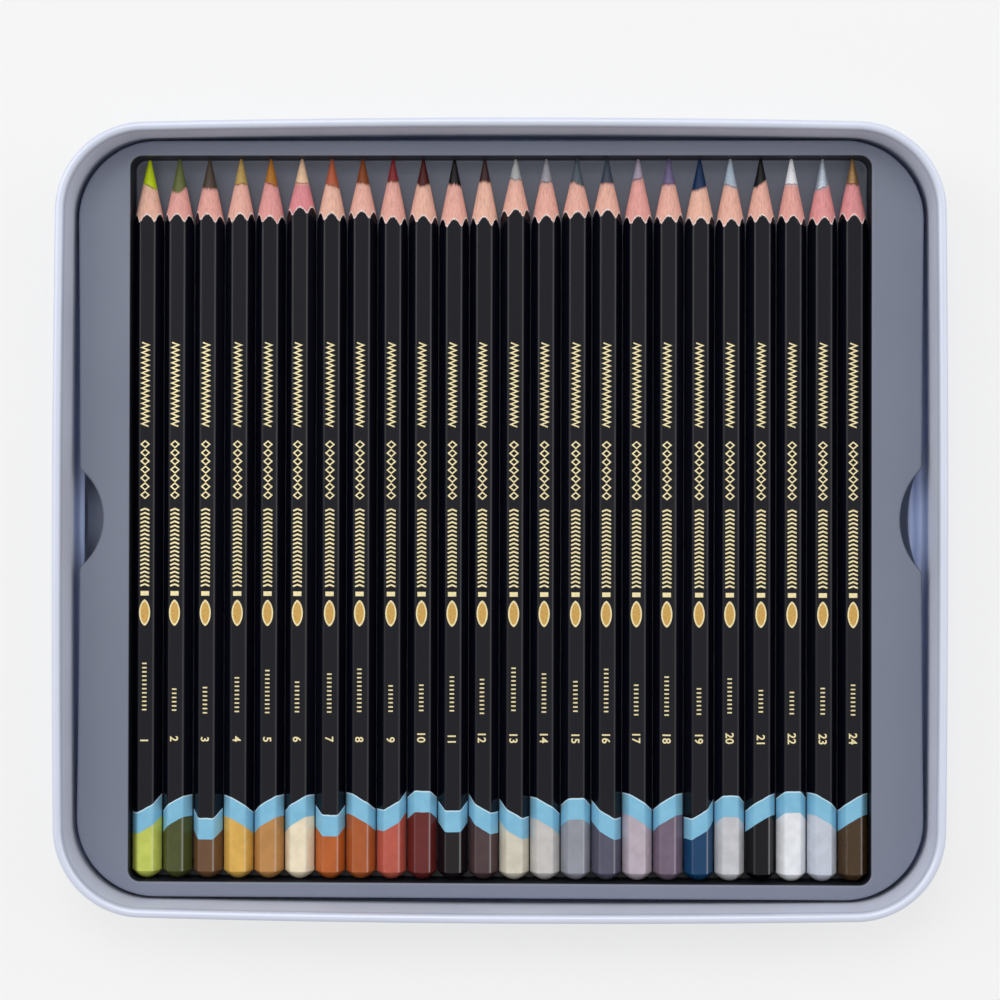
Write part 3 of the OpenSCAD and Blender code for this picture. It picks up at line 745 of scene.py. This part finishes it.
def mark_outlines(number):
    """Plain ornaments down the flat, from a zigzag to a leaf. Each outline has a tone and a rise."""
    shapes = [ribbon([((-0.8, 0.8)[k % 2], ZIGZAG_Z - 0.62 * k) for k in range(34)], 0.32)]
    for k in range(7):
        shapes += lozenge(LOZENGE_Z - 2.06 * k, 1.2, 1.02, 0.6)
    for k in range(19):
        z = CHEVRON_Z - STROKE_STEP * k
        shapes.append(ribbon([(-1.1, z - 0.45), (0, z), (1.1, z - 0.45)], 0.4))
    shapes.append(ribbon([(-1.0, BAR_Z), (1.0, BAR_Z)], 1.1))
    z = NAME_Z - NAME_DROPS[number - 1]
    while z > NAME_END_Z:
        shapes.append(ribbon([(-0.55, z), (0.55, z)], 0.34))
        z -= STROKE_STEP
    marks = [(shape, 0, 0) for shape in shapes]
    turns = [2 * math.pi * k / 24 for k in range(24)]
    leaf = [(-1.35 * math.sin(a) * abs(math.sin(a)) ** 0.3, LEAF_Z + 3.2 * math.cos(a)) for a in turns]
    marks.append((leaf, 0, 0))
    marks.append(([(0.74 * x, LEAF_Z + 0.84 * (z - LEAF_Z)) for x, z in leaf], 1, 0.006))
    return marks


def flat_marks(number, foil):
    """Gold marks stamped on a pencil's upper flat, with its plain number."""
    lift = FLAT_R + FOIL_LIFT
    points, faces, deep = [], [], []
    for outline, tone, rise in mark_outlines(number):
        start, count = len(points), len(outline)
        points += [(x + MARKS_X, -lift - rise, z) for x, z in outline]
        points += [(x + MARKS_X, FOIL_T - lift, z) for x, z in outline]
        deep += [tone] * (2 * count)
        faces.append(tuple(range(start, start + count)))
        faces.append(tuple(range(start + count, start + 2 * count))[::-1])
        for c in range(count):
            d = (c + 1) % count
            faces.append((start + d, start + c, start + count + c, start + count + d))
    curve = bpy.data.curves.new("digits", "FONT")
    curve.body, curve.size, curve.extrude = str(number), DIGIT_SIZE, FOIL_T / 2
    curve.offset = 0.05
    text = bpy.data.objects.new("digits", curve)
    bpy.context.scene.collection.objects.link(text)
    bpy.context.view_layer.update()
    mesh = bpy.data.meshes.new_from_object(text.evaluated_get(bpy.context.evaluated_depsgraph_get()))
    bpy.data.objects.remove(text)
    low, high = (f(v.co.y for v in mesh.vertices) for f in (min, max))
    digits_end = max(v.co.x for v in mesh.vertices)
    start = len(points)
    points += [
        (v.co.y - (low + high) / 2 + MARKS_X, FOIL_T / 2 - lift - v.co.z, NUMBER_Z + digits_end - v.co.x)
        for v in mesh.vertices
    ]
    deep += [0] * len(mesh.vertices)
    faces += [tuple(start + i for i in p.vertices) for p in mesh.polygons]
    name = f"pencil_{number:02d}"
    obj = piece(
        f"{name}_foil", points, faces, foil, name, (), pencil_place(number),
        {"deep": np.array(deep, np.float32)},
    )
    obj.data.shade_flat()


# ---- The object ----
make_tin()
make_tray()
hexagon_section = hexagon()
foil_material = gold_foil()
for pencil_number in range(1, PENCILS + 1):
    make_pencil(pencil_number, hexagon_section)
    flat_marks(pencil_number, foil_material)

# ---- Floor, light and camera ----

def make_floor():
    """A pale floor, part lit and part plain backdrop to the camera."""
    s = Shader("floor")
    paper = s.noise(s.place(), 0.004, 2)
    base = s.mix(paper, (0.905, 0.905, 0.905, 1), (0.915, 0.915, 0.915, 1))
    lit = s.add("ShaderNodeBsdfPrincipled", {"Base Color": base, "Roughness": 0.9, "Specular IOR Level": 0.0})
    plain = s.add("ShaderNodeEmission", {"Color": (BACKDROP, BACKDROP, BACKDROP, 1), "Strength": 1.0})
    seen = s.add("ShaderNodeLightPath").outputs["Is Camera Ray"]
    share = s.math("MULTIPLY", seen, FLOOR_BACKDROP_SHARE)
    both = s.add("ShaderNodeMixShader", {0: share, 1: lit.outputs[0], 2: plain.outputs[0]})
    s.tree.links.new(both.outputs[0], s.add("ShaderNodeOutputMaterial").inputs["Surface"])
    mesh = bpy.data.meshes.new("floor")
    mesh.from_pydata([(-6, -6, 0), (6, -6, 0), (6, 6, 0), (-6, 6, 0)], [], [(0, 1, 2, 3)])
    mesh.materials.append(s.material)
    floor = bpy.data.objects.new("floor", mesh)
    bpy.context.scene.collection.objects.link(floor)


def make_world():
    """Soft light all round, and the backdrop's shade to the camera and in reflections and glass."""
    world = bpy.data.worlds.new("studio")
    bpy.context.scene.world = world
    world.use_nodes = True
    tree = world.node_tree
    tree.nodes.clear()
    path = tree.nodes.new("ShaderNodeLightPath")
    seen = tree.nodes.new("ShaderNodeMath")
    seen.operation, seen.use_clamp = "ADD", True
    tree.links.new(path.outputs["Is Camera Ray"], seen.inputs[0])
    tree.links.new(path.outputs["Is Glossy Ray"], seen.inputs[1])
    also = tree.nodes.new("ShaderNodeMath")
    also.operation, also.use_clamp = "ADD", True
    tree.links.new(seen.outputs[0], also.inputs[0])
    tree.links.new(path.outputs["Is Transmission Ray"], also.inputs[1])
    shades = []
    for strength in (WORLD_LIGHT, BACKDROP):
        shade = tree.nodes.new("ShaderNodeBackground")
        shade.inputs["Color"].default_value = (1, 1, 1, 1)
        shade.inputs["Strength"].default_value = strength
        shades.append(shade.outputs[0])
    mixed = tree.nodes.new("ShaderNodeMixShader")
    tree.links.new(also.outputs[0], mixed.inputs[0])
    tree.links.new(shades[0], mixed.inputs[1])
    tree.links.new(shades[1], mixed.inputs[2])
    output = tree.nodes.new("ShaderNodeOutputWorld")
    tree.links.new(mixed.outputs[0], output.inputs["Surface"])


def area_light(name, place, size, power):
    """A panel of light that faces the object."""
    data = bpy.data.lights.new(name, "AREA")
    data.shape, data.size, data.size_y, data.energy = "RECTANGLE", *size, power
    light = bpy.data.objects.new(name, data)
    light.location = place
    light.rotation_mode = "QUATERNION"
    light.rotation_quaternion = (-Vector(place)).to_track_quat("-Z", "Y")
    bpy.context.scene.collection.objects.link(light)


def make_camera():
    data = bpy.data.cameras.new("camera")
    data.lens, data.sensor_width, data.shift_y = CAMERA_LENS, CAMERA_SENSOR, CAMERA_SHIFT_Y
    data.clip_start, data.clip_end = 0.01, 30
    camera = bpy.data.objects.new("camera", data)
    camera.location = CAMERA_PLACE
    camera.rotation_euler = Euler([math.radians(a) for a in CAMERA_TURN])
    bpy.context.scene.collection.objects.link(camera)
    bpy.context.scene.camera = camera


make_floor()
make_world()
area_light("key", (-0.2, 1.8, 2.4), (1.4, 1.4), 21)
area_light("left_panel", (-1.7, 0.7, 1.4), (1.2, 2.0), 18)
area_light("right_panel", (1.7, 0.7, 1.3), (1.8, 2.0), 13)
make_camera()
bpy.context.scene.view_settings.view_transform = "Standard"
